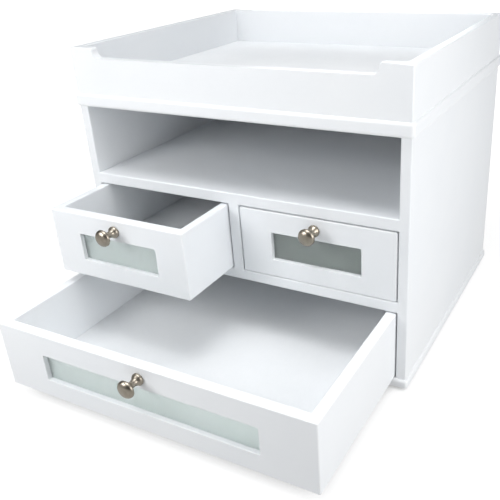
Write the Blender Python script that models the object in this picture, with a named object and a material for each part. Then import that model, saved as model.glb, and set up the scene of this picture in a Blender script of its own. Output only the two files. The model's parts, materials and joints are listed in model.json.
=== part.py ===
"""White wooden desk organizer: an open tray on top, one open shelf, two small
drawers side by side and one wide drawer below them.

Units are metres, +Z is up and -Y is the front. The drawers stand as in use: the
left small drawer partly open, the right one shut, the wide one more than half open.
"""
from math import cos, pi, radians, sin

import bmesh
import bpy
from mathutils import Matrix, Vector

# Fitting
GAP = 0.0003                # between two pieces that touch
DRAWER_CLEARANCE = 0.001    # around a drawer front in its opening
RUNNING_GAP = 0.0004        # under a drawer's walls, which slide on the board below

# Case
CASE_WIDTH = 0.322
CASE_DEPTH = 0.272
SIDE_THICKNESS = 0.009
LIP = 0.002                 # base and top board stand proud of the case all round
BACK_THICKNESS = 0.004
BACK_REBATE = 0.005         # how far the back panel reaches into each side panel

# Heights, stacked from the base board's underside upwards
BASE_THICKNESS = 0.009
WIDE_BAY_HEIGHT = 0.0645
MIDDLE_THICKNESS = 0.010
SMALL_BAY_HEIGHT = 0.0635
SHELF_THICKNESS = 0.0105
OPEN_BAY_HEIGHT = 0.0645
TOP_THICKNESS = 0.012
DIVIDER_THICKNESS = 0.0105

# Tray
RAIL_HEIGHT = 0.0405
RAIL_THICKNESS = 0.008
TRAY_FLOOR_THICKNESS = 0.0047
NOTCH_INSET = 0.026         # from each side of the case to the low part of the front rail
NOTCH_DEPTH = 0.009
NOTCH_FOOT_RADIUS = 0.006
NOTCH_SHOULDER_RADIUS = 0.002

# Drawers
FRONT_THICKNESS = 0.009
SMALL_WALL = 0.0075
WIDE_WALL = 0.009
BOTTOM_THICKNESS = 0.0035
BOTTOM_HEIGHT = 0.0045      # underside of a drawer's bottom above the board it runs on
GROOVE_DEPTH = 0.003        # how far the bottom reaches into the walls around it
STOP_GAP = 0.001            # between a shut drawer and the back panel
LEFT_OPEN = 0.066
WIDE_OPEN = 0.145

# Windows in the drawer fronts: width, height, height of the sill above the bay's floor
SMALL_WINDOW = (0.084, 0.0259, 0.0169)
WIDE_WINDOW = (0.208, 0.0247, 0.0182)
WINDOW_RADIUS = 0.001
GLASS_REBATE = 0.005        # rebate around the window, behind the front's outer face
REBATE_DEPTH = 0.0048
REBATE_RADIUS = 0.0005
GLASS_THICKNESS = 0.003
STRIP_THICKNESS = 0.0024    # strip in the rebate that holds one end of the glass
STRIP_RADIUS = 0.0005

# Knobs: axis height above the bay's floor, and the turned shape
SMALL_KNOB_HEIGHT = 0.0519
WIDE_KNOB_HEIGHT = 0.0522
ROSE_RADIUS = 0.0053
NECK_RADIUS = 0.0028
HEAD_RADIUS = 0.0075
HEAD_RIM = 0.0137           # front edge of the head's rim, above the drawer front
KNOB_PROJECTION = 0.0180
KNOB_SIDES = 20

# Fasteners and feet
SCREW_RADIUS = 0.0014
SCREW_HEAD_RADIUS = 0.003
PAN_HEAD_HEIGHT = 0.0018
CSK_HEAD_DEPTH = 0.0016
SCREW_TIP = 0.002
SCREW_SIDES = 12
KNOB_SCREW_REACH = 0.0055   # into the knob, beyond the drawer front
BACK_SCREW_LENGTH = 0.018
BACK_SCREW_SPACING = 0.120
TRAY_SCREW_LENGTH = 0.026
TRAY_SCREW_INSET = 0.060    # from each side of the case
FOOT_RADIUS = 0.007
FOOT_HEIGHT = 0.002
FOOT_INSET = 0.018

# Edge rounding
EDGE_RADIUS = 0.0012
LIP_RADIUS = 0.0028
BEVEL_STEPS = 2
CORNER_STEPS = 4

# Worked out from the sizes above
HALF_WIDTH = CASE_WIDTH / 2
INNER_HALF = HALF_WIDTH - SIDE_THICKNESS
WIDE_BAY_Z = BASE_THICKNESS
MIDDLE_Z = WIDE_BAY_Z + WIDE_BAY_HEIGHT
SMALL_BAY_Z = MIDDLE_Z + MIDDLE_THICKNESS
SHELF_Z = SMALL_BAY_Z + SMALL_BAY_HEIGHT
OPEN_BAY_Z = SHELF_Z + SHELF_THICKNESS
TOP_Z = OPEN_BAY_Z + OPEN_BAY_HEIGHT
TRAY_Z = TOP_Z + TOP_THICKNESS
BACK_PANEL_Y = CASE_DEPTH - BACK_THICKNESS - GAP
BAY_DEPTH = BACK_PANEL_Y - GAP
DRAWER_LENGTH = BAY_DEPTH - STOP_GAP

# The origin is under the middle of the whole object with its drawers as they stand
CASE_FRONT_Y = (WIDE_OPEN + KNOB_PROJECTION - CASE_DEPTH - LIP) / 2
CASE_BASE_Z = FOOT_HEIGHT + GAP

DIRECTIONS = {
    "left": (-1, 0, 0),
    "right": (1, 0, 0),
    "front": (0, -1, 0),
    "back": (0, 1, 0),
    "under": (0, 0, -1),
    "top": (0, 0, 1),
}


# Materials

def material(name, colour, roughness, metallic=0.0, alpha=1.0):
    made = bpy.data.materials.new(name)
    made.use_nodes = True
    made.diffuse_color = (*colour, alpha)
    shader = made.node_tree.nodes["Principled BSDF"]
    shader.inputs["Base Color"].default_value = (*colour, 1.0)
    shader.inputs["Roughness"].default_value = roughness
    shader.inputs["Metallic"].default_value = metallic
    shader.inputs["Alpha"].default_value = alpha
    return made


def make_finishes():
    return {
        "lacquer": material("white_lacquer", (0.83, 0.85, 0.87), 0.35),
        "panel": material("white_hardboard", (0.80, 0.82, 0.84), 0.50),
        "glass": material("frosted_glass", (0.60, 0.68, 0.66), 0.45, 0.0, 0.5),
        "nickel": material("brushed_nickel", (0.62, 0.57, 0.50), 0.30, 1.0),
        "zinc": material("zinc_screw", (0.60, 0.61, 0.62), 0.35, 1.0),
        "rubber": material("grey_rubber", (0.10, 0.10, 0.11), 0.80),
    }


# Shapes

def place(name, bm, finish, parent, location, rotation_x=0.0, smooth=False):
    """Turns a bmesh into a named object that hangs on its body's empty."""
    bmesh.ops.recalc_face_normals(bm, faces=bm.faces)
    mesh = bpy.data.meshes.new(name)
    bm.to_mesh(mesh)
    bm.free()
    if finish is not None:
        mesh.materials.append(finish)
    if smooth:
        mesh.shade_smooth()
        mesh.set_sharp_from_angle(angle=radians(35))
    piece = bpy.data.objects.new(name, mesh)
    bpy.context.scene.collection.objects.link(piece)
    piece.parent = parent
    piece.location = location
    piece.rotation_euler = (rotation_x, 0.0, 0.0)
    return piece


def box_mesh(size):
    bm = bmesh.new()
    bmesh.ops.create_cube(bm, size=1.0, matrix=Matrix.Diagonal((*size, 1.0)))
    return bm


def round_edges(bm, edges, radius):
    bmesh.ops.bevel(bm, geom=edges, offset=radius, segments=BEVEL_STEPS, profile=0.5,
                    affect="EDGES", clamp_overlap=True)


def board(name, low, high, finish, parent, free=(), radius=EDGE_RADIUS):
    """A flat board between two corners. An edge between two free faces is rounded."""
    low = Vector(low)
    high = Vector(high)
    bm = box_mesh(high - low)
    free_normals = [Vector(DIRECTIONS[side]) for side in free]

    def is_free(face):
        return any(face.normal.dot(normal) > 0.9 for normal in free_normals)

    bm.normal_update()
    edges = [edge for edge in bm.edges if all(is_free(face) for face in edge.link_faces)]
    if edges:
        round_edges(bm, edges, radius)
    return place(name, bm, finish, parent, (low + high) / 2)


def arc(centre, radius, start, end, steps=CORNER_STEPS):
    """Points on an arc, with angles in degrees."""
    angles = [radians(start + (end - start) * step / steps) for step in range(steps + 1)]
    return [(centre[0] + radius * cos(a), centre[1] + radius * sin(a)) for a in angles]


def rounded_rectangle(width, height, radius):
    """Outline around the origin, counter-clockwise."""
    x = width / 2 - radius
    z = height / 2 - radius
    corners = (((x, -z), -90), ((x, z), 0), ((-x, z), 90), ((-x, -z), 180))
    return [point for centre, start in corners for point in arc(centre, radius, start, start + 90)]


def prism_mesh(outline, front_y, back_y):
    """An outline in X and Z, extruded along Y."""
    bm = bmesh.new()
    front = [bm.verts.new((x, front_y, z)) for x, z in outline]
    face = bm.faces.new(front)
    made = bmesh.ops.extrude_face_region(bm, geom=[face])["geom"]
    moved = [item for item in made if isinstance(item, bmesh.types.BMVert)]
    bmesh.ops.translate(bm, vec=(0.0, back_y - front_y, 0.0), verts=moved)
    return bm


def turned_mesh(profile, sides):
    """A solid turned about Z from (radius, height) points, from one pole to the other."""
    bm = bmesh.new()
    turns = [2 * pi * (step + 0.5) / sides for step in range(sides)]
    rings = []
    for radius, height in profile:
        if radius == 0.0:
            rings.append([bm.verts.new((0.0, 0.0, height))] * sides)
        else:
            rings.append([bm.verts.new((radius * cos(t), radius * sin(t), height)) for t in turns])
    for lower, upper in zip(rings, rings[1:]):
        for step in range(sides):
            after = (step + 1) % sides
            corners = [lower[step], lower[after], upper[after], upper[step]]
            bm.faces.new(dict.fromkeys(corners))
    return bm


def cutter(name, bm, parent, location, rotation_x=0.0):
    tool = place(name, bm, None, parent, location, rotation_x)
    tool.hide_render = True
    tool.display_type = "WIRE"
    return tool


def cut(piece, tool):
    boolean = piece.modifiers.new(tool.name, "BOOLEAN")
    boolean.operation = "DIFFERENCE"
    boolean.solver = "EXACT"
    boolean.object = tool


def cut_box(piece, name, low, high):
    """Cuts the box between two corners, given in the frame of the piece's parent."""
    low = Vector(low)
    high = Vector(high)
    cut(piece, cutter(name, box_mesh(high - low), piece.parent, (low + high) / 2))


def cut_turned(piece, name, profile, location, rotation_x):
    mesh = turned_mesh(profile, SCREW_SIDES)
    cut(piece, cutter(name, mesh, piece.parent, location, rotation_x))


def body_empty(name, location):
    empty = bpy.data.objects.new(name, None)
    empty.empty_display_size = 0.02
    empty.location = location
    bpy.context.scene.collection.objects.link(empty)
    return empty


# Fasteners

def pan_screw(name, length, finish, parent, location, rotation_x):
    """Its head stands on the surface at its location and its shank goes in below."""
    profile = [
        (0.0, -length),
        (SCREW_RADIUS, SCREW_TIP - length),
        (SCREW_RADIUS, 0.0),
        (SCREW_HEAD_RADIUS, 0.0),
        (SCREW_HEAD_RADIUS, 0.5 * PAN_HEAD_HEIGHT),
        (0.7 * SCREW_HEAD_RADIUS, PAN_HEAD_HEIGHT),
        (0.0, PAN_HEAD_HEIGHT),
    ]
    mesh = turned_mesh(profile, SCREW_SIDES)
    return place(name, mesh, finish, parent, location, rotation_x, smooth=True)


def countersunk_screw(name, length, finish, parent, location, rotation_x):
    """Its flat head lies flush with the surface at its location."""
    profile = [
        (0.0, -length),
        (SCREW_RADIUS, SCREW_TIP - length),
        (SCREW_RADIUS, -CSK_HEAD_DEPTH),
        (SCREW_HEAD_RADIUS, -GAP),
        (SCREW_HEAD_RADIUS, 0.0),
        (0.0, 0.0),
    ]
    mesh = turned_mesh(profile, SCREW_SIDES)
    return place(name, mesh, finish, parent, location, rotation_x, smooth=True)


def hole_profile(depth):
    """A straight hole that starts just outside the surface."""
    radius = SCREW_RADIUS + GAP
    return [(0.0, -depth), (radius, -depth), (radius, GAP), (0.0, GAP)]


def countersink_profile(depth):
    """A straight hole with room for a countersunk head at its mouth."""
    radius = SCREW_RADIUS + GAP
    mouth = SCREW_HEAD_RADIUS + GAP
    return [(0.0, -depth), (radius, -depth), (radius, -CSK_HEAD_DEPTH - GAP), (mouth, -GAP - GAP),
            (mouth, GAP), (0.0, GAP)]


# The case

def build_case(finishes):
    case = body_empty("case_frame", (0.0, CASE_FRONT_Y, CASE_BASE_Z))
    lacquer = finishes["lacquer"]
    every_side = tuple(DIRECTIONS)

    board("base_board", (-HALF_WIDTH - LIP, -LIP, 0.0),
          (HALF_WIDTH + LIP, CASE_DEPTH + LIP, BASE_THICKNESS), lacquer, case, every_side, LIP_RADIUS)
    for side, name in ((-1, "left_side_panel"), (1, "right_side_panel")):
        build_side_panel(name, side, lacquer, case)
    middle = board("middle_board", (-INNER_HALF + GAP, 0.0, MIDDLE_Z),
                   (INNER_HALF - GAP, BAY_DEPTH, SMALL_BAY_Z), lacquer, case,
                   ("front", "top", "under"))
    board("drawer_divider", (-DIVIDER_THICKNESS / 2, 0.0, SMALL_BAY_Z + GAP),
          (DIVIDER_THICKNESS / 2, BAY_DEPTH, SHELF_Z - GAP), lacquer, case,
          ("front", "left", "right"))
    shelf = board("shelf_board", (-INNER_HALF + GAP, 0.0, SHELF_Z),
                  (INNER_HALF - GAP, BAY_DEPTH, OPEN_BAY_Z), lacquer, case,
                  ("front", "top", "under"))
    top = board("top_board", (-HALF_WIDTH - LIP, -LIP, TOP_Z),
                (HALF_WIDTH + LIP, CASE_DEPTH + LIP, TRAY_Z), lacquer, case, every_side, LIP_RADIUS)
    build_back_panel(middle, shelf, finishes, case)
    build_tray(top, finishes, case)
    build_feet(finishes["rubber"], case)


def build_side_panel(name, side, lacquer, case):
    """A side panel with a rebate along its rear edge for the back panel."""
    outer = side * HALF_WIDTH
    inner = side * INNER_HALF
    panel = board(name, (min(outer, inner), 0.0, BASE_THICKNESS + GAP),
                  (max(outer, inner), CASE_DEPTH, TOP_Z - GAP), lacquer, case,
                  ("front", "back", "left", "right"))
    rebate = (inner - side * GAP, inner + side * (BACK_REBATE + GAP))
    cut_box(panel, name + "_rebate", (min(rebate), BAY_DEPTH, 0.0),
            (max(rebate), CASE_DEPTH + LIP, TRAY_Z))


def build_back_panel(middle, shelf, finishes, case):
    """A thin panel in the side panels' rebates, screwed to the two boards' rear edges."""
    reach = INNER_HALF + BACK_REBATE
    panel = board("back_panel", (-reach, BACK_PANEL_Y, BASE_THICKNESS + GAP),
                  (reach, BACK_PANEL_Y + BACK_THICKNESS, TOP_Z - GAP), finishes["panel"], case)
    surface_y = BACK_PANEL_Y + BACK_THICKNESS + GAP
    number = 0
    for rear_board, height in ((middle, MIDDLE_Z + MIDDLE_THICKNESS / 2),
                               (shelf, SHELF_Z + SHELF_THICKNESS / 2)):
        for column in (-1, 0, 1):
            number += 1
            spot = (column * BACK_SCREW_SPACING, surface_y, height)
            hole = hole_profile(BACK_SCREW_LENGTH + GAP)
            pan_screw(f"back_panel_screw_{number}", BACK_SCREW_LENGTH, finishes["zinc"], case,
                      spot, radians(-90))
            cut_turned(panel, f"back_panel_hole_{number}", hole, spot, radians(-90))
            cut_turned(rear_board, f"board_pilot_hole_{number}", hole, spot, radians(-90))


def front_rail_outline():
    """Front rail in X and Z from its lower left corner, with the low stretch in its middle."""
    shoulder = HALF_WIDTH - NOTCH_INSET
    sill = RAIL_HEIGHT - NOTCH_DEPTH
    right = arc((shoulder + NOTCH_SHOULDER_RADIUS, RAIL_HEIGHT - NOTCH_SHOULDER_RADIUS),
                NOTCH_SHOULDER_RADIUS, 90, 180, 2)
    right += arc((shoulder - NOTCH_FOOT_RADIUS, sill + NOTCH_FOOT_RADIUS),
                 NOTCH_FOOT_RADIUS, 0, -90)
    left = [(-x, z) for x, z in reversed(right)]
    return [(-HALF_WIDTH, 0.0), (HALF_WIDTH, 0.0), (HALF_WIDTH, RAIL_HEIGHT), *right, *left,
            (-HALF_WIDTH, RAIL_HEIGHT)]


def build_front_rail(lacquer, case):
    bm = prism_mesh(front_rail_outline(), 0.0, RAIL_THICKNESS)

    def is_outer(edge):
        across = abs(edge.verts[0].co.y - edge.verts[1].co.y) > GAP
        on_underside = all(vert.co.z < GAP for vert in edge.verts)
        return not across and not on_underside

    round_edges(bm, [edge for edge in bm.edges if is_outer(edge)], EDGE_RADIUS)
    return place("tray_front_rail", bm, lacquer, case, (0.0, 0.0, TRAY_Z + GAP))


def build_tray(top, finishes, case):
    """Four rails on the top board around a raised floor, screwed from below."""
    lacquer = finishes["lacquer"]
    low_z = TRAY_Z + GAP
    high_z = low_z + RAIL_HEIGHT
    back_y = CASE_DEPTH - RAIL_THICKNESS
    inner = HALF_WIDTH - RAIL_THICKNESS
    front = build_front_rail(lacquer, case)
    back = board("tray_back_rail", (-HALF_WIDTH, back_y, low_z), (HALF_WIDTH, CASE_DEPTH, high_z),
                 lacquer, case, ("front", "back", "left", "right", "top"))
    for name, low_x, high_x in (("tray_left_rail", -HALF_WIDTH, -inner),
                                ("tray_right_rail", inner, HALF_WIDTH)):
        board(name, (low_x, RAIL_THICKNESS + GAP, low_z), (high_x, back_y - GAP, high_z),
              lacquer, case, ("left", "right", "top"))
    board("tray_floor", (-inner + GAP, RAIL_THICKNESS + GAP, low_z),
          (inner - GAP, back_y - GAP, low_z + TRAY_FLOOR_THICKNESS), finishes["panel"], case)

    number = 0
    for rail, spot_y in ((front, RAIL_THICKNESS / 2), (back, CASE_DEPTH - RAIL_THICKNESS / 2)):
        for side in (-1, 1):
            number += 1
            spot = (side * (HALF_WIDTH - TRAY_SCREW_INSET), spot_y, TOP_Z)
            hole = countersink_profile(TRAY_SCREW_LENGTH + GAP)
            countersunk_screw(f"tray_screw_{number}", TRAY_SCREW_LENGTH, finishes["zinc"], case,
                              spot, radians(180))
            cut_turned(top, f"tray_screw_hole_{number}", hole, spot, radians(180))
            cut_turned(rail, f"rail_pilot_hole_{number}", hole, spot, radians(180))


def build_feet(rubber, case):
    profile = [
        (0.0, 0.0),
        (FOOT_RADIUS - GAP, 0.0),
        (FOOT_RADIUS, GAP),
        (FOOT_RADIUS, FOOT_HEIGHT),
        (0.0, FOOT_HEIGHT),
    ]
    for side, side_name in ((-1, "left"), (1, "right")):
        for spot_y, end_name in ((FOOT_INSET, "front"), (CASE_DEPTH - FOOT_INSET, "back")):
            spot = (side * (HALF_WIDTH - FOOT_INSET), spot_y, -CASE_BASE_Z)
            place(f"foot_{end_name}_{side_name}", turned_mesh(profile, KNOB_SIDES), rubber, case,
                  spot, smooth=True)


# The drawers

def knob_profile():
    """A domed rose, a waisted neck and a mushroom head, with a blind screw hole behind."""
    hole = SCREW_RADIUS + GAP
    hole_end = KNOB_SCREW_REACH + 2 * GAP
    crown = KNOB_PROJECTION - HEAD_RIM
    rose = [(ROSE_RADIUS - 0.0005, GAP), (ROSE_RADIUS, 0.0010), (ROSE_RADIUS - 0.0002, 0.0020),
            (ROSE_RADIUS - 0.0008, 0.0031), (ROSE_RADIUS - 0.0016, 0.0043),
            (NECK_RADIUS + 0.0003, 0.0058), (NECK_RADIUS, 0.0074)]
    under_head = [(NECK_RADIUS + 0.0003, 0.0093), (NECK_RADIUS + 0.0018, 0.0112),
                  (HEAD_RADIUS - 0.0009, 0.0126), (HEAD_RADIUS, 0.0131), (HEAD_RADIUS, HEAD_RIM)]
    face = [(HEAD_RADIUS * cos(radians(a)), HEAD_RIM + crown * sin(radians(a))) for a in (25, 50, 72)]
    return [(0.0, hole_end), (hole, hole_end), (hole, GAP), *rose, *under_head, *face,
            (0.0, KNOB_PROJECTION)]


def build_front(drawer, name, width, height, window, knob_height, lacquer):
    """The front, with its window, the glass rebate behind it and the knob screw's hole.

    Drawer frames have X = 0 at the middle, Y = 0 at the outer face of the front
    and Z = 0 on the board that the drawer runs on.
    """
    front = board(name + "_front", (-width / 2, 0.0, RUNNING_GAP),
                  (width / 2, FRONT_THICKNESS, height - DRAWER_CLEARANCE), lacquer, drawer,
                  ("front", "left", "right", "top", "under"))
    window_width, window_height, sill = window
    middle = (0.0, 0.0, sill + window_height / 2)
    pane = rounded_rectangle(window_width, window_height, WINDOW_RADIUS)
    cut(front, cutter(name + "_window", prism_mesh(pane, -FRONT_THICKNESS, 2 * FRONT_THICKNESS),
                      drawer, middle))
    seat = rounded_rectangle(window_width + 2 * GLASS_REBATE, window_height + 2 * GLASS_REBATE,
                             REBATE_RADIUS)
    cut(front, cutter(name + "_glass_rebate",
                      prism_mesh(seat, FRONT_THICKNESS - REBATE_DEPTH, 2 * FRONT_THICKNESS),
                      drawer, middle))
    cut_turned(front, name + "_knob_hole", hole_profile(2 * FRONT_THICKNESS),
               (0.0, FRONT_THICKNESS + GAP, knob_height), radians(-90))
    cut_groove(front, name + "_front_groove", width / 2 - GROOVE_DEPTH,
               FRONT_THICKNESS - GROOVE_DEPTH - GAP, FRONT_THICKNESS + GAP)


def cut_groove(piece, name, half_width, front_y, back_y):
    """Room for the drawer's bottom, a gap larger than the bottom above and below."""
    cut_box(piece, name, (-half_width, front_y, BOTTOM_HEIGHT - GAP),
            (half_width, back_y, BOTTOM_HEIGHT + BOTTOM_THICKNESS + GAP))


def build_glass(drawer, name, window, finishes):
    """The pane in its rebate, and the strip behind each of its ends."""
    window_width, window_height, sill = window
    middle_z = sill + window_height / 2
    half_width = window_width / 2 + GLASS_REBATE - GAP
    half_height = window_height / 2 + GLASS_REBATE - GAP
    pane_y = FRONT_THICKNESS - REBATE_DEPTH + GAP
    outline = rounded_rectangle(2 * half_width, 2 * half_height, REBATE_RADIUS)
    place(name + "_glass_pane", prism_mesh(outline, pane_y, pane_y + GLASS_THICKNESS),
          finishes["glass"], drawer, (0.0, 0.0, middle_z))
    strip_y = pane_y + GLASS_THICKNESS + GAP
    for side, side_name in ((-1, "left"), (1, "right")):
        ends = (side * (window_width / 2 + GAP), side * half_width)
        board(f"{name}_glass_strip_{side_name}", (min(ends), strip_y, middle_z - half_height),
              (max(ends), strip_y + STRIP_THICKNESS, middle_z + half_height),
              finishes["lacquer"], drawer, ("back", "left", "right"), STRIP_RADIUS)


def build_box(drawer, name, width, height, wall, finishes):
    """Two side walls and a back wall behind the front, around a bottom held in grooves."""
    lacquer = finishes["lacquer"]
    half = width / 2
    front_y = FRONT_THICKNESS + GAP
    top = height - DRAWER_CLEARANCE
    groove_x = half - wall + GROOVE_DEPTH
    for side, side_name in ((-1, "left"), (1, "right")):
        low_x = min(side * half, side * (half - wall))
        panel = board(f"{name}_{side_name}_wall", (low_x, front_y, RUNNING_GAP),
                      (low_x + wall, DRAWER_LENGTH, top), lacquer, drawer,
                      ("left", "right", "top", "back"))
        cut_groove(panel, f"{name}_{side_name}_wall_groove", groove_x + GAP, -GAP,
                   DRAWER_LENGTH - wall + GROOVE_DEPTH + GAP)
    inner = half - wall - GAP
    back = board(f"{name}_back_wall", (-inner, DRAWER_LENGTH - wall, RUNNING_GAP),
                 (inner, DRAWER_LENGTH, top), lacquer, drawer, ("front", "back", "top"))
    cut_groove(back, f"{name}_back_wall_groove", half, 0.0, DRAWER_LENGTH - wall + GROOVE_DEPTH + GAP)
    board(f"{name}_bottom", (-groove_x, FRONT_THICKNESS - GROOVE_DEPTH, BOTTOM_HEIGHT),
          (groove_x, DRAWER_LENGTH - wall + GROOVE_DEPTH, BOTTOM_HEIGHT + BOTTOM_THICKNESS),
          finishes["panel"], drawer)


def build_drawer(name, middle_x, width, floor_z, height, wall, window, knob_height, opened, finishes):
    """One drawer on an empty that slides along Y."""
    drawer = body_empty(name + "_slide", (middle_x, CASE_FRONT_Y - opened, CASE_BASE_Z + floor_z))
    build_front(drawer, name, width, height, window, knob_height, finishes["lacquer"])
    build_box(drawer, name, width, height, wall, finishes)
    build_glass(drawer, name, window, finishes)
    place(name + "_knob", turned_mesh(knob_profile(), KNOB_SIDES), finishes["nickel"], drawer,
          (0.0, 0.0, knob_height), radians(90), smooth=True)
    pan_screw(name + "_knob_screw", FRONT_THICKNESS + GAP + KNOB_SCREW_REACH, finishes["zinc"],
              drawer, (0.0, FRONT_THICKNESS + GAP, knob_height), radians(-90))


def build_drawers(finishes):
    small_bay = INNER_HALF - DIVIDER_THICKNESS / 2
    small_middle = DIVIDER_THICKNESS / 2 + small_bay / 2
    small_width = small_bay - 2 * DRAWER_CLEARANCE
    for name, side, opened in (("left_drawer", -1, LEFT_OPEN), ("right_drawer", 1, 0.0)):
        build_drawer(name, side * small_middle, small_width, SMALL_BAY_Z, SMALL_BAY_HEIGHT,
                     SMALL_WALL, SMALL_WINDOW, SMALL_KNOB_HEIGHT, opened, finishes)
    wide_width = 2 * (INNER_HALF - DRAWER_CLEARANCE)
    build_drawer("wide_drawer", 0.0, wide_width, WIDE_BAY_Z, WIDE_BAY_HEIGHT,
                 WIDE_WALL, WIDE_WINDOW, WIDE_KNOB_HEIGHT, WIDE_OPEN, finishes)


def main():
    for old in list(bpy.data.objects):
        bpy.data.objects.remove(old, do_unlink=True)
    finishes = make_finishes()
    build_case(finishes)
    build_drawers(finishes)


main()
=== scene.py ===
"""Looks of the white wooden desk organizer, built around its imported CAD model.

Every CAD node gets one finished piece with the same name and "_look" at its end. Units are
metres, +Z is up and -Y is the front, as in the CAD model.
"""

import json
from math import cos, pi, radians, sin

import bmesh
import bpy
from mathutils import Matrix, Vector

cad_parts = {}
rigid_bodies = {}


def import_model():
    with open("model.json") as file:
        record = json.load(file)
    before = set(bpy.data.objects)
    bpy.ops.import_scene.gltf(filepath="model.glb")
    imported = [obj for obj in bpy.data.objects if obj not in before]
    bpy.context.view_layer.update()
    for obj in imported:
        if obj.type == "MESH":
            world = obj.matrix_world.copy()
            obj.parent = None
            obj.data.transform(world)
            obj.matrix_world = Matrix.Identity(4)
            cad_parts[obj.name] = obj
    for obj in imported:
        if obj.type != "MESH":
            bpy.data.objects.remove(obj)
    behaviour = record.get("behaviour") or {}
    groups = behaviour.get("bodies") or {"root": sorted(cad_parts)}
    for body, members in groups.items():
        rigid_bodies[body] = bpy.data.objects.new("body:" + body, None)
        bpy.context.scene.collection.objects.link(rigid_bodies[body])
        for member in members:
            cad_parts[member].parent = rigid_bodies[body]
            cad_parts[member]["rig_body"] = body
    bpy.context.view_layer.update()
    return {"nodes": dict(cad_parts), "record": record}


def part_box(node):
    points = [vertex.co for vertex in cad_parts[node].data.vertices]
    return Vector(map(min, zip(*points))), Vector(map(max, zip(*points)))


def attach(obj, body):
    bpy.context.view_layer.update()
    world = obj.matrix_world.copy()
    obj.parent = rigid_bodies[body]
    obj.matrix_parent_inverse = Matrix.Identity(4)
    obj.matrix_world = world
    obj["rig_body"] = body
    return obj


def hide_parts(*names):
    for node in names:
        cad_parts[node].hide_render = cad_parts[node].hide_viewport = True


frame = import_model()
SLOTS = {row["node"]: row["material_slot"] for row in frame["record"]["subparts"]}

# Joints and edges
EDGE_RADIUS = 0.0012
LIP_RADIUS = 0.0028
EDGE_STEPS = 5
LIP_STEPS = 9
CAD_GAP = 0.0003            # between two joined pieces of the CAD model
SEAT = 0.0005               # how far a piece reaches into the one that it is glued to
INTO_ROUNDING = EDGE_RADIUS + CAD_GAP   # the same, where it meets a rounded edge
BACK_PANEL_RADIUS = 0.0004
BACK_PANEL_STEPS = 3
CORNER_STEPS = 8
TOLERANCE = 1e-5

# Cosines between normals
FLAT = 0.99999              # a face squares up to an axis
FACING = 0.9                # a face belongs to a side of its board
BLENDING = 0.8              # a face is smoothed into its neighbour

# The low stretch of the tray's front rail
NOTCH_INSET = 0.026
NOTCH_DEPTH = 0.009
NOTCH_FOOT_RADIUS = 0.006
NOTCH_SHOULDER_RADIUS = 0.002
NOTCH_FOOT_STEPS = 12

# Drawer windows
GLASS_LAP = 0.0047          # of the pane behind the front, on each side of the window
REBATE = 0.005
REBATE_RADIUS = 0.0005
WINDOW_RADIUS = 0.001
WINDOW_ARRIS = 0.0004
ARRIS_STEPS = 3
GLASS_ARRIS = 0.0002
GLASS_ARRIS_STEPS = 2
PANE_SHIFT = 0.00028        # lays the pane against its seat
STRIP_RADIUS = 0.0005
STRIP_STEPS = 4
STRIP_REACH = 0.0007        # of the strip towards the pane

# Knob profile from the drawer front outwards: radius and height, in millimetres
KNOB_STEM = ((4.95, 0.02), (5.2, 0.25), (5.3, 0.7), (5.27, 1.3), (5.1, 1.95), (4.72, 2.6), (4.2, 3.3),
             (3.65, 4.1), (3.22, 5.0), (2.95, 6.0), (2.82, 7.1), (2.82, 8.2), (2.95, 9.2),
             (3.3, 10.2), (3.9, 11.0), (4.75, 11.65), (5.65, 12.15), (6.4, 12.52), (6.95, 12.88),
             (7.32, 13.3))
KNOB_RADIUS = 7.5
KNOB_RIM_HEIGHT = 13.85
KNOB_HEIGHT = 18.0
KNOB_CROWN_POWER = 2.15     # 2 is an ellipse, more is fuller at the rim
KNOB_CROWN_STEPS = 18
KNOB_SIDES = 72
MILLIMETRE = 0.001

# Screws
SCREW_SIDES = 32
SCREW_HEAD_RADIUS = 0.003
SCREW_SHANK_RADIUS = 0.0014
SCREW_TIP_RADIUS = 0.0006
SCREW_TIP_LENGTH = 0.0012
SCREW_TAPER_LENGTH = 0.003
PAN_HEAD_HEIGHT = 0.0018
PAN_ARRIS = 0.0002
PAN_SIDE = 0.35             # share of the head's height below its crown
CSK_DEPTH = 0.0016
CSK_ARRIS = 0.0001
RECESS_REACH = 0.0017
RECESS_WIDTH = 0.0007
RECESS_DEPTH = 0.0012
RECESS_TAPER = 0.45         # the recess's reach at its foot, as a share of that at its mouth
RECESS_CLEAR = 0.0005       # how far the cutter stands above the head
SHARP_ANGLE = 32            # degrees between faces of turned pieces

# Feet
FOOT_SIDES = 48
FOOT_EDGE = ((0.0012, 0.0), (0.0007, 0.0001), (0.0004, 0.0004))   # inset and height, from below
FOOT_TAPER = 0.0002         # inset of the shoulder
FOOT_SHOULDER = 0.0003      # from the shoulder up to the CAD foot's top
FOOT_TOP_INSET = 0.0003
FOOT_REACH = 0.0004         # into the base board

SIDES = {
    "left": Vector((-1, 0, 0)),
    "right": Vector((1, 0, 0)),
    "front": Vector((0, -1, 0)),
    "back": Vector((0, 1, 0)),
    "under": Vector((0, 0, -1)),
    "top": Vector((0, 0, 1)),
}
ALL = tuple(SIDES)


# Node materials

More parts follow.
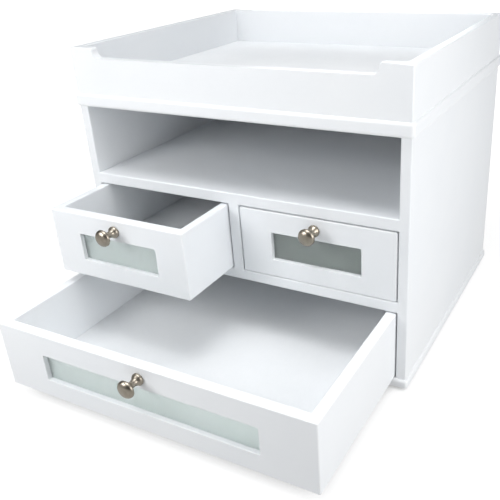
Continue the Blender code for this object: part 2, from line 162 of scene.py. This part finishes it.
class Nodes:
    """Adds nodes to one material and links them."""

    def __init__(self, name):
        self.material = bpy.data.materials.new(name)
        self.material.use_nodes = True
        self.tree = self.material.node_tree
        self.shader = self.tree.nodes["Principled BSDF"]
        self.place = self.add("ShaderNodeTexCoord").outputs["Object"]

    def add(self, kind, **settings):
        node = self.tree.nodes.new(kind)
        for key, value in settings.items():
            setattr(node, key, value)
        return node

    def link(self, value, socket):
        if isinstance(value, bpy.types.NodeSocket):
            self.tree.links.new(value, socket)
        else:
            socket.default_value = value

    def stretched(self, scale):
        mapping = self.add("ShaderNodeMapping")
        self.link(self.place, mapping.inputs["Vector"])
        mapping.inputs["Scale"].default_value = scale
        return mapping.outputs["Vector"]

    def noise(self, scale, detail=3.0, roughness=0.5, vector=None, distortion=0.0):
        node = self.add("ShaderNodeTexNoise")
        self.link(vector or self.place, node.inputs["Vector"])
        node.inputs["Scale"].default_value = scale
        node.inputs["Detail"].default_value = detail
        node.inputs["Roughness"].default_value = roughness
        node.inputs["Distortion"].default_value = distortion
        return node.outputs["Fac"]

    def spread(self, value, low, high, out_low=0.0, out_high=1.0):
        node = self.add("ShaderNodeMapRange")
        self.link(value, node.inputs["Value"])
        node.inputs["From Min"].default_value = low
        node.inputs["From Max"].default_value = high
        node.inputs["To Min"].default_value = out_low
        node.inputs["To Max"].default_value = out_high
        return node.outputs["Result"]

    def math(self, operation, *values):
        node = self.add("ShaderNodeMath", operation=operation)
        for value, socket in zip(values, node.inputs):
            self.link(value, socket)
        return node.outputs["Value"]

    def mix(self, factor, first, second):
        node = self.add("ShaderNodeMix", data_type="RGBA")
        self.link(factor, node.inputs["Factor"])
        # A Mix node's colours go in at sockets 6 and 7 and come out at socket 2
        for socket, colour in ((node.inputs[6], first), (node.inputs[7], second)):
            self.link(colour if isinstance(colour, bpy.types.NodeSocket) else (*colour, 1.0), socket)
        return node.outputs[2]

    def bump(self, height, strength, distance, normal=None):
        node = self.add("ShaderNodeBump")
        self.link(height, node.inputs["Height"])
        node.inputs["Strength"].default_value = strength
        node.inputs["Distance"].default_value = distance
        if normal is not None:
            self.link(normal, node.inputs["Normal"])
        return node.outputs["Normal"]

    def attribute(self, name):
        return self.add("ShaderNodeAttribute", attribute_name=name).outputs["Fac"]

    def finish(self, colour, roughness, normal=None, **sockets):
        self.link(colour if isinstance(colour, bpy.types.NodeSocket) else (*colour, 1.0),
                  self.shader.inputs["Base Color"])
        self.link(roughness, self.shader.inputs["Roughness"])
        if normal is not None:
            self.link(normal, self.shader.inputs["Normal"])
        for name, value in sockets.items():
            self.shader.inputs[name.replace("_", " ")].default_value = value
        return self.material


def lacquer():
    """Satin white lacquer sprayed on fibreboard: a trace of orange peel, smoother on the edges, with a
    painted highlight that makes its colour lighter on them.
    """
    n = Nodes("white_lacquer")
    cloud = n.spread(n.noise(9.0, 4.0, 0.55), 0.35, 0.65)
    fleck = n.spread(n.noise(420.0, 2.0), 0.3, 0.7)
    edge = n.attribute("edge")
    colour = n.mix(cloud, (0.838, 0.861, 0.886), (0.866, 0.884, 0.902))
    colour = n.mix(n.math("MULTIPLY", fleck, 0.12), colour, (0.80, 0.82, 0.845))
    # Painted highlight: the colour turns lighter on the rounded edges
    colour = n.mix(n.math("MULTIPLY", edge, 0.35), colour, (0.90, 0.905, 0.91))
    rough = n.spread(n.noise(60.0, 3.0), 0.3, 0.7, 0.36, 0.44)
    rough = n.math("SUBTRACT", rough, n.math("MULTIPLY", edge, 0.06))
    normal = n.bump(n.noise(38.0, 2.0), 0.12, 0.0006)
    normal = n.bump(n.noise(520.0, 1.5), 0.10, 0.00012, normal)
    return n.finish(colour, rough, normal, IOR=1.48)


def hardboard():
    """Matt white paint on hardboard, with the board's fine fibres under it."""
    n = Nodes("white_hardboard")
    cloud = n.spread(n.noise(16.0, 5.0, 0.6), 0.3, 0.7)
    fibre = n.noise(1.0, 4.0, 0.65, n.stretched((900.0, 240.0, 900.0)), 0.8)
    colour = n.mix(cloud, (0.800, 0.818, 0.835), (0.838, 0.852, 0.866))
    colour = n.mix(n.spread(fibre, 0.42, 0.72, 0.0, 0.18), colour, (0.74, 0.755, 0.765))
    rough = n.spread(fibre, 0.3, 0.7, 0.50, 0.66)
    return n.finish(colour, rough, n.bump(fibre, 0.25, 0.00012), IOR=1.46)


def glass():
    """Frosted glass: the light through it is blurred, with a faint green body colour."""
    n = Nodes("frosted_glass")
    grain = n.noise(2600.0, 2.0)
    cloud = n.noise(45.0, 3.0)
    colour = n.mix(n.spread(cloud, 0.3, 0.7), (0.87, 0.95, 0.915), (0.90, 0.965, 0.94))
    rough = n.spread(n.noise(140.0, 2.0), 0.3, 0.7, 0.42, 0.52)
    return n.finish(colour, rough, n.bump(grain, 0.15, 0.00005), IOR=1.5,
                    Transmission_Weight=0.84)


def nickel():
    """Turned and brushed nickel plate, with its fine marks running round the knob."""
    n = Nodes("brushed_nickel")
    split = n.add("ShaderNodeSeparateXYZ")
    n.link(n.place, split.inputs["Vector"])
    x, y, z = (split.outputs[axis] for axis in "XYZ")
    radius = n.math("SQRT", n.math("ADD", n.math("MULTIPLY", x, x), n.math("MULTIPLY", y, y)))
    around = n.add("ShaderNodeCombineXYZ")
    n.link(radius, around.inputs["X"])
    n.link(z, around.inputs["Y"])
    marks = n.noise(5200.0, 3.0, 0.6, around.outputs["Vector"])
    cloud = n.noise(260.0, 3.0)
    colour = n.mix(n.spread(cloud, 0.3, 0.7), (0.320, 0.284, 0.232), (0.400, 0.357, 0.297))
    colour = n.mix(n.spread(marks, 0.35, 0.7, 0.0, 0.35), colour, (0.257, 0.227, 0.185))
    rough = n.spread(marks, 0.3, 0.7, 0.28, 0.38)
    return n.finish(colour, rough, n.bump(marks, 0.12, 0.00003), Metallic=1.0)


def zinc():
    """Bright zinc plate, a little clouded."""
    n = Nodes("zinc_screw")
    cloud = n.noise(700.0, 4.0, 0.6)
    colour = n.mix(n.spread(cloud, 0.3, 0.7), (0.56, 0.575, 0.60), (0.70, 0.70, 0.69))
    rough = n.spread(n.noise(1500.0, 3.0), 0.3, 0.7, 0.30, 0.44)
    return n.finish(colour, rough, n.bump(cloud, 0.1, 0.00004), Metallic=1.0)


def rubber():
    """Soft grey rubber with a fine grain and some dust."""
    n = Nodes("grey_rubber")
    grain = n.noise(1600.0, 3.0)
    dust = n.spread(n.noise(180.0, 4.0, 0.6), 0.5, 0.8, 0.0, 0.3)
    colour = n.mix(dust, (0.055, 0.055, 0.06), (0.20, 0.195, 0.19))
    return n.finish(colour, n.spread(grain, 0.3, 0.7, 0.72, 0.90), n.bump(grain, 0.3, 0.00008))


FINISHES = {
    "white_lacquer": lacquer(),
    "white_hardboard": hardboard(),
    "frosted_glass": glass(),
    "brushed_nickel": nickel(),
    "zinc_screw": zinc(),
    "grey_rubber": rubber(),
}


# Meshes

def is_flat(face):
    return max(abs(part) for part in face.normal) > FLAT


def shade_rounded(mesh):
    """Flat faces stay flat up to their roundings, which blend into them."""
    mesh.shade_smooth()
    faces = mesh.polygons
    flat = [is_flat(face) for face in faces]
    around = [[] for _ in mesh.vertices]
    for face in faces:
        for corner in face.vertices:
            around[corner].append(face.index)
    normals = [None] * len(mesh.loops)
    for face in faces:
        for loop in face.loop_indices:
            if flat[face.index]:
                normals[loop] = face.normal.copy()
                continue
            near = [i for i in around[mesh.loops[loop].vertex_index]
                    if faces[i].normal.dot(face.normal) > BLENDING]
            chosen = [i for i in near if flat[i]] or near
            total = Vector((0.0, 0.0, 0.0))
            for i in chosen:
                total += faces[i].normal
            normals[loop] = total.normalized()
    # Marks the roundings, where the lacquer turns smoother and paints a highlight into its colour
    edge = mesh.attributes.new("edge", "FLOAT", "POINT")
    for vertex, touching in enumerate(around):
        edge.data[vertex].value = 0.0 if any(flat[i] for i in touching) else 1.0
    mesh.normals_split_custom_set(normals)


def add_piece(node, mesh, location=(0.0, 0.0, 0.0), rotation_x=0.0):
    """The finished piece that stands for one CAD node, on that node's body."""
    piece = bpy.data.objects.new(node + "_look", mesh)
    bpy.context.scene.collection.objects.link(piece)
    piece.location = location
    piece.rotation_euler = (rotation_x, 0.0, 0.0)
    if not mesh.materials:
        mesh.materials.append(FINISHES[SLOTS[node]])
    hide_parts(node)
    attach(piece, frame["nodes"][node]["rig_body"])
    return piece


def mesh_from(bm, name, rounded=True):
    bmesh.ops.recalc_face_normals(bm, faces=bm.faces)
    mesh = bpy.data.meshes.new(name)
    bm.to_mesh(mesh)
    bm.free()
    if rounded:
        shade_rounded(mesh)
    return mesh


def round_edges(bm, edges, radius, steps):
    bmesh.ops.bevel(bm, geom=edges, offset=radius, segments=steps, profile=0.5,
                    affect="EDGES", clamp_overlap=True)


def grown_box(node, grow):
    low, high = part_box(node)
    for side, by in grow.items():
        for axis in range(3):
            if SIDES[side][axis] < 0:
                low[axis] -= by
            elif SIDES[side][axis] > 0:
                high[axis] += by
    return low, high


def box_between(low, high):
    bm = bmesh.new()
    bmesh.ops.create_cube(bm, size=1.0, matrix=Matrix.Translation((low + high) / 2)
                          @ Matrix.Diagonal((*(high - low), 1.0)))
    bm.normal_update()
    return bm


def board(node, free, grow=None, radius=EDGE_RADIUS, steps=EDGE_STEPS):
    """A board as large as its CAD node, grown into its neighbours, rounded between free faces."""
    low, high = grown_box(node, grow or {})
    bm = box_between(low, high)
    normals = [SIDES[side] for side in free]

    def is_free(face):
        return any(face.normal.dot(normal) > FACING for normal in normals)

    edges = [edge for edge in bm.edges if all(is_free(face) for face in edge.link_faces)]
    if edges:
        round_edges(bm, edges, radius, steps)
    return add_piece(node, mesh_from(bm, node))


def arc(centre, radius, start, end, steps=CORNER_STEPS):
    angles = [radians(start + (end - start) * step / steps) for step in range(steps + 1)]
    return [(centre[0] + radius * cos(a), centre[1] + radius * sin(a)) for a in angles]


def rounded_rectangle(low_x, low_z, high_x, high_z, radius):
    """Outline in X and Z, one arc for each corner, counter-clockwise from the lower right."""
    corners = (((high_x - radius, low_z + radius), -90), ((high_x - radius, high_z - radius), 0),
               ((low_x + radius, high_z - radius), 90), ((low_x + radius, low_z + radius), 180))
    return [point for centre, start in corners for point in arc(centre, radius, start, start + 90)]


def ring_of(bm, outline, y):
    return [bm.verts.new((x, y, z)) for x, z in outline]


def bridge(bm, first, second):
    count = len(first)
    return [bm.faces.new((first[i], first[(i + 1) % count], second[(i + 1) % count], second[i]))
            for i in range(count)]


def plate_around(bm, corners, hole):
    """Four faces between a rectangle's corners and a rounded hole in it."""
    per_corner = len(hole) // 4
    half = per_corner // 2
    for i in range(4):
        after = (i + 1) % 4
        start = i * per_corner + half
        inner = [hole[(start + step) % len(hole)] for step in range(per_corner + 1)]
        bm.faces.new((corners[i], corners[after], *reversed(inner)))


def edges_between(ring):
    found = []
    for first, second in zip(ring, ring[1:] + ring[:1]):
        found += [edge for edge in first.link_edges if edge.other_vert(first) == second]
    return found


# The case

def build_boards():
    round_all = {"radius": LIP_RADIUS, "steps": LIP_STEPS}
    board("base_board", ALL, **round_all)
    board("top_board", ALL, **round_all)
    for side in ("left", "right"):
        build_side_panel(f"{side}_side_panel", side)
    across = {"left": INTO_ROUNDING, "right": INTO_ROUNDING}
    board("middle_board", ("front", "top", "under"), across)
    board("shelf_board", ("front", "top", "under"), across)
    board("drawer_divider", ("front", "left", "right"),
          {"top": INTO_ROUNDING, "under": INTO_ROUNDING})
    board("back_panel", ("back", "left", "right"), radius=BACK_PANEL_RADIUS, steps=BACK_PANEL_STEPS)


def build_side_panel(node, outer):
    """A side panel with the rebate for the back panel along its rear edge."""
    low, high = grown_box(node, {"top": SEAT, "under": SEAT})
    panel_low, panel_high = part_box("back_panel")
    rebate_y = panel_low.y - CAD_GAP
    if outer == "left":
        step_x = panel_low.x - CAD_GAP
        outline = [(low.x, low.y), (high.x, low.y), (high.x, rebate_y), (step_x, rebate_y),
                   (step_x, high.y), (low.x, high.y)]
    else:
        step_x = panel_high.x + CAD_GAP
        outline = [(low.x, low.y), (high.x, low.y), (high.x, high.y), (step_x, high.y),
                   (step_x, rebate_y), (low.x, rebate_y)]
    bm = bmesh.new()
    lower = [bm.verts.new((x, y, low.z)) for x, y in outline]
    upper = [bm.verts.new((x, y, high.z)) for x, y in outline]
    bm.faces.new(lower)
    bm.faces.new(upper)
    bridge(bm, lower, upper)
    ends = (low.y, high.y)
    edges = [edge for edge in bm.edges
             if abs(edge.verts[0].co.z - edge.verts[1].co.z) > TOLERANCE
             and min(abs(edge.verts[0].co.y - end) for end in ends) < TOLERANCE]
    round_edges(bm, edges, EDGE_RADIUS, EDGE_STEPS)
    return add_piece(node, mesh_from(bm, node))


def build_front_rail():
    """The tray's front rail, with the low stretch for taking papers out."""
    low, high = grown_box("tray_front_rail", {"under": SEAT})
    shoulder = high.x - NOTCH_INSET
    sill = high.z - NOTCH_DEPTH
    right = arc((shoulder + NOTCH_SHOULDER_RADIUS, high.z - NOTCH_SHOULDER_RADIUS),
                NOTCH_SHOULDER_RADIUS, 90, 180)
    right += arc((shoulder - NOTCH_FOOT_RADIUS, sill + NOTCH_FOOT_RADIUS),
                 NOTCH_FOOT_RADIUS, 0, -90, NOTCH_FOOT_STEPS)
    left = [(-x, z) for x, z in reversed(right)]
    outline = [(low.x, low.z), (high.x, low.z), (high.x, high.z), *right, *left, (low.x, high.z)]
    bm = bmesh.new()
    front = ring_of(bm, outline, low.y)
    back = ring_of(bm, outline, high.y)
    bm.faces.new(front)
    bm.faces.new(back)
    bridge(bm, front, back)

    def is_rounded(edge):
        first, second = (vert.co for vert in edge.verts)
        if max(first.z, second.z) < low.z + TOLERANCE:
            return False
        if abs(first.y - second.y) < TOLERANCE:
            return True
        at_top = min(first.z, second.z) > high.z - TOLERANCE
        return at_top and abs(abs(first.x) - high.x) < TOLERANCE

    round_edges(bm, [edge for edge in bm.edges if is_rounded(edge)], EDGE_RADIUS, EDGE_STEPS)
    return add_piece("tray_front_rail", mesh_from(bm, "tray_front_rail"))


def build_tray():
    build_front_rail()
    board("tray_back_rail", ("front", "back", "left", "right", "top"), {"under": SEAT})
    into = {"front": INTO_ROUNDING, "back": INTO_ROUNDING, "under": SEAT}
    for side in ("left", "right"):
        board(f"tray_{side}_rail", ("left", "right", "top"), into)
    reach = {side: SEAT for side in ("left", "right", "front", "back", "under")}
    board("tray_floor", (), reach)


# The drawers

def inset_plate(bm, y, normal_y, hole):
    """Swaps the flat face of a rounded block for a plate around a hole in it."""
    face = next(face for face in bm.faces if face.normal.y * normal_y > FLAT
                and abs(face.calc_center_median().y - y) < TOLERANCE)
    low_x, high_x = (pick(vert.co.x for vert in face.verts) for pick in (min, max))
    low_z, high_z = (pick(vert.co.z for vert in face.verts) for pick in (min, max))
    wanted = ((high_x, low_z), (high_x, high_z), (low_x, high_z), (low_x, low_z))
    corners = [min(face.verts, key=lambda vert: abs(vert.co.x - x) + abs(vert.co.z - z))
               for x, z in wanted]
    bmesh.ops.delete(bm, geom=[face], context="FACES_ONLY")
    plate_around(bm, corners, hole)


def build_front(drawer):
    """A drawer front with its window, the rebate behind it and softly broken edges."""
    node = drawer + "_front"
    low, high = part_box(node)
    pane_low, pane_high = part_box(drawer + "_glass_pane")
    window = (pane_low.x + GLASS_LAP, pane_low.z + GLASS_LAP,
              pane_high.x - GLASS_LAP, pane_high.z - GLASS_LAP)
    seat_y = pane_low.y - CAD_GAP

    def ring(outset, radius, y):
        return ring_of(bm, rounded_rectangle(window[0] - outset, window[1] - outset,
                                             window[2] + outset, window[3] + outset, radius), y)

    bm = box_between(low, high)
    round_edges(bm, bm.edges[:], EDGE_RADIUS, EDGE_STEPS)
    bm.normal_update()
    rings = []
    for step in range(ARRIS_STEPS + 1):
        turn = pi / 2 * step / ARRIS_STEPS
        outset = WINDOW_ARRIS * (1 - sin(turn))
        rings.append(ring(outset, WINDOW_RADIUS + outset, low.y + WINDOW_ARRIS * (1 - cos(turn))))
    rings.append(ring(0.0, WINDOW_RADIUS, seat_y))
    rings.append(ring(REBATE, REBATE_RADIUS, seat_y))
    rings.append(ring(REBATE, REBATE_RADIUS, high.y))
    for first, second in zip(rings, rings[1:]):
        bridge(bm, first, second)
    inset_plate(bm, low.y, -1, rings[0])
    inset_plate(bm, high.y, 1, rings[-1])
    return add_piece(node, mesh_from(bm, node))


def build_pane(drawer):
    node = drawer + "_glass_pane"
    low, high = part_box(node)
    outline = rounded_rectangle(low.x, low.z, high.x, high.z, REBATE_RADIUS)
    bm = bmesh.new()
    front = ring_of(bm, outline, low.y - PANE_SHIFT)
    back = ring_of(bm, outline, high.y - PANE_SHIFT)
    bm.faces.new(front)
    bm.faces.new(back)
    bridge(bm, front, back)
    round_edges(bm, edges_between(front) + edges_between(back), GLASS_ARRIS, GLASS_ARRIS_STEPS)
    return add_piece(node, mesh_from(bm, node))


def build_drawer(drawer):
    build_front(drawer)
    build_pane(drawer)
    for side in ("left", "right"):
        board(f"{drawer}_{side}_wall", ("left", "right", "top", "under", "back"),
              {"front": INTO_ROUNDING})
        board(f"{drawer}_glass_strip_{side}", ("back", "left", "right"),
              {"front": STRIP_REACH, side: SEAT, "top": SEAT, "under": SEAT},
              STRIP_RADIUS, STRIP_STEPS)
    board(f"{drawer}_back_wall", ("front", "back", "top", "under"),
          {"left": INTO_ROUNDING, "right": INTO_ROUNDING})
    board(f"{drawer}_bottom", ())


# Turned pieces

def turned_mesh(name, profile, sides):
    """A solid turned about Z from (radius, height) points, from one pole to the other."""
    bm = bmesh.new()
    turns = [2 * pi * step / sides for step in range(sides)]
    rings = []
    for radius, height in profile:
        if radius == 0.0:
            rings.append([bm.verts.new((0.0, 0.0, height))] * sides)
        else:
            rings.append([bm.verts.new((radius * cos(t), radius * sin(t), height)) for t in turns])
    for lower, upper in zip(rings, rings[1:]):
        for step in range(sides):
            after = (step + 1) % sides
            corners = [lower[step], lower[after], upper[after], upper[step]]
            bm.faces.new(dict.fromkeys(corners))
    mesh = mesh_from(bm, name, rounded=False)
    mesh.shade_smooth()
    mesh.set_sharp_from_angle(angle=radians(SHARP_ANGLE))
    return mesh


def knob_mesh():
    """A domed rose, a waisted neck and a head whose crown rolls over at the rim."""
    crown = KNOB_HEIGHT - KNOB_RIM_HEIGHT
    bend = 2 / KNOB_CROWN_POWER
    face = []
    for step in range(KNOB_CROWN_STEPS):
        angle = pi / 2 * step / KNOB_CROWN_STEPS
        face.append((KNOB_RADIUS * cos(angle) ** bend, KNOB_RIM_HEIGHT + crown * sin(angle) ** bend))
    outline = [(0.0, KNOB_STEM[0][1]), *KNOB_STEM, *face, (0.0, KNOB_HEIGHT)]
    profile = [(radius * MILLIMETRE, height * MILLIMETRE) for radius, height in outline]
    return turned_mesh("knob", profile, KNOB_SIDES)


def build_knobs(drawers):
    shared = knob_mesh()
    for drawer in drawers:
        node = drawer + "_knob"
        low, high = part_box(node)
        front_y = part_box(drawer + "_front")[0].y
        spot = ((low.x + high.x) / 2, front_y, (low.z + high.z) / 2)
        add_piece(node, shared, spot, radians(90))


def cross_recess(mesh, head_top):
    """Cuts a tapered cross into a screw's head."""
    bm = bmesh.new()
    reach, width = RECESS_REACH, RECESS_WIDTH / 2
    for crossing in (False, True):
        corners = []
        for height, share in ((head_top + RECESS_CLEAR, 1.0), (head_top - RECESS_DEPTH, RECESS_TAPER)):
            for x, y in ((-reach, -width), (reach, -width), (reach, width), (-reach, width)):
                corners.append(bm.verts.new((x * share, y, height)))
        for face in ((0, 1, 2, 3), (4, 5, 6, 7), (0, 1, 5, 4), (1, 2, 6, 5), (2, 3, 7, 6), (3, 0, 4, 7)):
            bm.faces.new([corners[i] for i in face])
        if crossing:
            bmesh.ops.rotate(bm, verts=corners, cent=(0, 0, 0),
                             matrix=Matrix.Rotation(radians(90), 3, "Z"))
    cutter_mesh = mesh_from(bm, "recess", rounded=False)
    solid = bpy.data.objects.new("screw_blank", mesh)
    tool = bpy.data.objects.new("recess_tool", cutter_mesh)
    for made in (solid, tool):
        bpy.context.scene.collection.objects.link(made)
    cut = solid.modifiers.new("recess", "BOOLEAN")
    cut.operation = "DIFFERENCE"
    cut.solver = "EXACT"
    cut.use_self = True
    cut.object = tool
    bpy.context.view_layer.update()
    result = bpy.data.meshes.new_from_object(solid.evaluated_get(bpy.context.evaluated_depsgraph_get()))
    for made in (solid, tool):
        bpy.data.objects.remove(made, do_unlink=True)
    for old in (mesh, cutter_mesh):
        bpy.data.meshes.remove(old)
    result.shade_smooth()
    result.set_sharp_from_angle(angle=radians(SHARP_ANGLE))
    return result


def shank_tip(length):
    """The pointed end of a screw and its shank, up from the tip."""
    return [(0.0, -length), (SCREW_TIP_RADIUS, SCREW_TIP_LENGTH - length),
            (SCREW_SHANK_RADIUS, SCREW_TAPER_LENGTH - length)]


def pan_head_mesh(length):
    """A round-headed screw with its head above zero and its shank below."""
    crown = [(SCREW_HEAD_RADIUS * cos(radians(angle)),
              PAN_HEAD_HEIGHT * (PAN_SIDE + (1 - PAN_SIDE) * sin(radians(angle))))
             for angle in range(0, 73, 12)]
    profile = [*shank_tip(length), (SCREW_SHANK_RADIUS, 0.0), (SCREW_HEAD_RADIUS - PAN_ARRIS, 0.0),
               (SCREW_HEAD_RADIUS, PAN_ARRIS), *crown, (0.0, PAN_HEAD_HEIGHT)]
    return cross_recess(turned_mesh("pan_screw", profile, SCREW_SIDES), PAN_HEAD_HEIGHT)


def countersunk_mesh(length):
    """A flat-headed screw whose head ends at zero."""
    profile = [*shank_tip(length), (SCREW_SHANK_RADIUS, -CSK_DEPTH),
               (SCREW_HEAD_RADIUS - CSK_ARRIS, -3 * CSK_ARRIS),
               (SCREW_HEAD_RADIUS, -2 * CSK_ARRIS), (SCREW_HEAD_RADIUS, -CSK_ARRIS),
               (SCREW_HEAD_RADIUS - CSK_ARRIS, 0.0), (0.0, 0.0)]
    return cross_recess(turned_mesh("flat_screw", profile, SCREW_SIDES), 0.0)


def build_screws(drawers):
    """Every screw stands where its CAD node does, with its head on the same side."""
    low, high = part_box("back_panel_screw_1")
    shared = pan_head_mesh(high.y - low.y - PAN_HEAD_HEIGHT)
    for number in range(1, 7):
        node = f"back_panel_screw_{number}"
        low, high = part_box(node)
        spot = ((low.x + high.x) / 2, high.y - PAN_HEAD_HEIGHT - CAD_GAP, (low.z + high.z) / 2)
        add_piece(node, shared, spot, radians(-90))
    low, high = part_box("tray_screw_1")
    shared = countersunk_mesh(high.z - low.z)
    for number in range(1, 5):
        node = f"tray_screw_{number}"
        low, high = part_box(node)
        add_piece(node, shared, ((low.x + high.x) / 2, (low.y + high.y) / 2, low.z), radians(180))
    low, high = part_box(drawers[0] + "_knob_screw")
    shared = pan_head_mesh(high.y - low.y - PAN_HEAD_HEIGHT)
    for drawer in drawers:
        node = drawer + "_knob_screw"
        low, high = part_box(node)
        spot = ((low.x + high.x) / 2, high.y - PAN_HEAD_HEIGHT - CAD_GAP, (low.z + high.z) / 2)
        add_piece(node, shared, spot, radians(-90))


def build_feet():
    low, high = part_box("foot_front_left")
    radius = (high.x - low.x) / 2
    height = high.z - low.z
    profile = [(0.0, 0.0), *((radius - inset, up) for inset, up in FOOT_EDGE),
               (radius - FOOT_TAPER, height - FOOT_SHOULDER),
               (radius - FOOT_TOP_INSET, height + FOOT_REACH), (0.0, height + FOOT_REACH)]
    shared = turned_mesh("foot", profile, FOOT_SIDES)
    for end in ("front", "back"):
        for side in ("left", "right"):
            node = f"foot_{end}_{side}"
            low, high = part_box(node)
            add_piece(node, shared, ((low.x + high.x) / 2, (low.y + high.y) / 2, low.z))


# Studio

CAMERA_PLACE = (0.306628, -0.494431, 0.366198)
CAMERA_AZIMUTH = 29.0278
CAMERA_ELEVATION = 25.5536
CAMERA_ROLL = -2.9274
CAMERA_LENS = 47.4487
CAMERA_SHIFT = (-0.0960, -0.0193)

FLOOR_GLOW = 0.445
FLOOR_LIFT = (0.335, 0.635)   # seen by the camera alone: near the object and far from it
FLOOR_LIFT_REACH = (0.35, 1.10)
CONTACT_REACH = 0.05        # how close the object must be to shade the glow
CONTACT_RANGE = (0.05, 0.35)
CONTACT_SHADE = 0.30
FLOOR_HALF_SIZE = 25.0
FLOOR_CELLS = 8
CONTACT_SAMPLES = 8
BACKDROP_STRENGTH = 1.1
SKY_RISE = 2.36             # strength straight above
SKY_POWER = 8.0
SKY_COLOUR = (0.96, 0.98, 1.0, 1.0)
LIGHT_AIM = (0.0, 0.0, 0.14)
LIGHTS = (                  # name, place, size and power in watts
    ("overhead", (0.09, -0.19, 1.06), (0.5, 0.4), 3.50),
    ("left_softbox", (-0.27, -0.58, 0.42), (0.3, 0.3), 2.40),
    ("right_softbox", (0.75, -0.20, 0.40), (0.4, 0.4), 2.04),
    ("right_fill", (0.90, -0.10, 0.25), (0.5, 0.3), 1.93),
    ("rear_fill", (-0.45, 1.30, 0.45), (0.6, 0.5), 4.0),
)


def build_camera():
    data = bpy.data.cameras.new("camera")
    data.sensor_width = 36.0
    data.lens = CAMERA_LENS
    data.shift_x, data.shift_y = CAMERA_SHIFT
    data.clip_start = 0.01
    data.clip_end = 100.0
    camera = bpy.data.objects.new("camera", data)
    bpy.context.scene.collection.objects.link(camera)
    azimuth, elevation, roll = (radians(a) for a in (CAMERA_AZIMUTH, CAMERA_ELEVATION, CAMERA_ROLL))
    ahead = Vector((-sin(azimuth) * cos(elevation), cos(azimuth) * cos(elevation), -sin(elevation)))
    across = ahead.cross(Vector((0.0, 0.0, 1.0))).normalized()
    upward = across.cross(ahead)
    right = across * cos(roll) + upward * sin(roll)
    above = upward * cos(roll) - across * sin(roll)
    camera.matrix_world = Matrix.Translation(CAMERA_PLACE) @ Matrix(
        (right, above, -ahead)).transposed().to_4x4()
    bpy.context.scene.camera = camera


def area_light(name, place, size, power):
    data = bpy.data.lights.new(name, "AREA")
    data.shape = "RECTANGLE"
    data.size, data.size_y = size
    data.energy = power
    lamp = bpy.data.objects.new(name, data)
    bpy.context.scene.collection.objects.link(lamp)
    lamp.location = place
    lamp.visible_camera = False
    lamp.rotation_mode = "QUATERNION"
    lamp.rotation_quaternion = (Vector(LIGHT_AIM) - Vector(place)).to_track_quat("-Z", "Y")


def build_floor():
    """Pale paper that glows a little. The camera alone sees it glow more, and more still far from the
    object, except under and close to the object, where that glow is dimmed into a painted contact
    shadow.
    """
    bm = bmesh.new()
    bmesh.ops.create_grid(bm, x_segments=FLOOR_CELLS, y_segments=FLOOR_CELLS, size=FLOOR_HALF_SIZE)
    floor = bpy.data.objects.new("floor", mesh_from(bm, "floor", rounded=False))
    bpy.context.scene.collection.objects.link(floor)
    n = Nodes("floor_paper")
    grain = n.noise(300.0, 3.0)
    distance = n.add("ShaderNodeVectorMath", operation="LENGTH")
    n.link(n.place, distance.inputs[0])
    lift = n.spread(distance.outputs["Value"], *FLOOR_LIFT_REACH, *FLOOR_LIFT)
    # Painted contact shadow: the glow the camera sees is dimmed where the object is close, as ambient
    # occlusion finds it
    cover = n.add("ShaderNodeAmbientOcclusion", samples=CONTACT_SAMPLES)
    cover.inputs["Distance"].default_value = CONTACT_REACH
    open_share = n.spread(cover.outputs["AO"], *CONTACT_RANGE, CONTACT_SHADE, 1.0)
    visible = n.math("MULTIPLY", n.math("ADD", lift, FLOOR_GLOW), open_share)
    seen = n.add("ShaderNodeLightPath").outputs["Is Camera Ray"]
    n.link(n.math("MULTIPLY_ADD", n.math("SUBTRACT", visible, FLOOR_GLOW), seen, FLOOR_GLOW),
           n.shader.inputs["Emission Strength"])
    floor.data.materials.append(n.finish(
        n.mix(grain, (0.24, 0.24, 0.24), (0.26, 0.26, 0.26)), 0.8, Specular_IOR_Level=0.1,
        Emission_Color=(1.0, 1.0, 1.0, 1.0)))


def build_world():
    """A studio that is bright overhead and dark towards the horizon, against white."""
    world = bpy.data.worlds.new("studio")
    world.use_nodes = True
    tree = world.node_tree
    nodes, links = tree.nodes, tree.links
    place = nodes.new("ShaderNodeTexCoord")
    split = nodes.new("ShaderNodeSeparateXYZ")
    links.new(place.outputs["Generated"], split.inputs["Vector"])
    height = nodes.new("ShaderNodeMath")
    height.operation = "MAXIMUM"
    links.new(split.outputs["Z"], height.inputs[0])
    height.inputs[1].default_value = 0.0
    curve = nodes.new("ShaderNodeMath")
    curve.operation = "POWER"
    links.new(height.outputs["Value"], curve.inputs[0])
    curve.inputs[1].default_value = SKY_POWER
    strength = nodes.new("ShaderNodeMath")
    strength.operation = "MULTIPLY"
    links.new(curve.outputs["Value"], strength.inputs[0])
    strength.inputs[1].default_value = SKY_RISE
    sky = nodes["Background"]
    sky.inputs["Color"].default_value = SKY_COLOUR
    links.new(strength.outputs["Value"], sky.inputs["Strength"])
    backdrop = nodes.new("ShaderNodeBackground")
    backdrop.inputs["Color"].default_value = (1.0, 1.0, 1.0, 1.0)
    backdrop.inputs["Strength"].default_value = BACKDROP_STRENGTH
    path = nodes.new("ShaderNodeLightPath")
    mixed = nodes.new("ShaderNodeMixShader")
    links.new(path.outputs["Is Camera Ray"], mixed.inputs["Fac"])
    links.new(sky.outputs["Background"], mixed.inputs[1])
    links.new(backdrop.outputs["Background"], mixed.inputs[2])
    links.new(mixed.outputs["Shader"], nodes["World Output"].inputs["Surface"])
    bpy.context.scene.world = world


def build_studio():
    build_floor()
    build_world()
    for light in LIGHTS:
        area_light(*light)
    bpy.context.scene.view_settings.view_transform = "Standard"
    build_camera()


DRAWERS = ("left_drawer", "right_drawer", "wide_drawer")
build_boards()
build_tray()
for drawer_name in DRAWERS:
    build_drawer(drawer_name)
build_knobs(DRAWERS)
build_screws(DRAWERS)
build_feet()
build_studio()
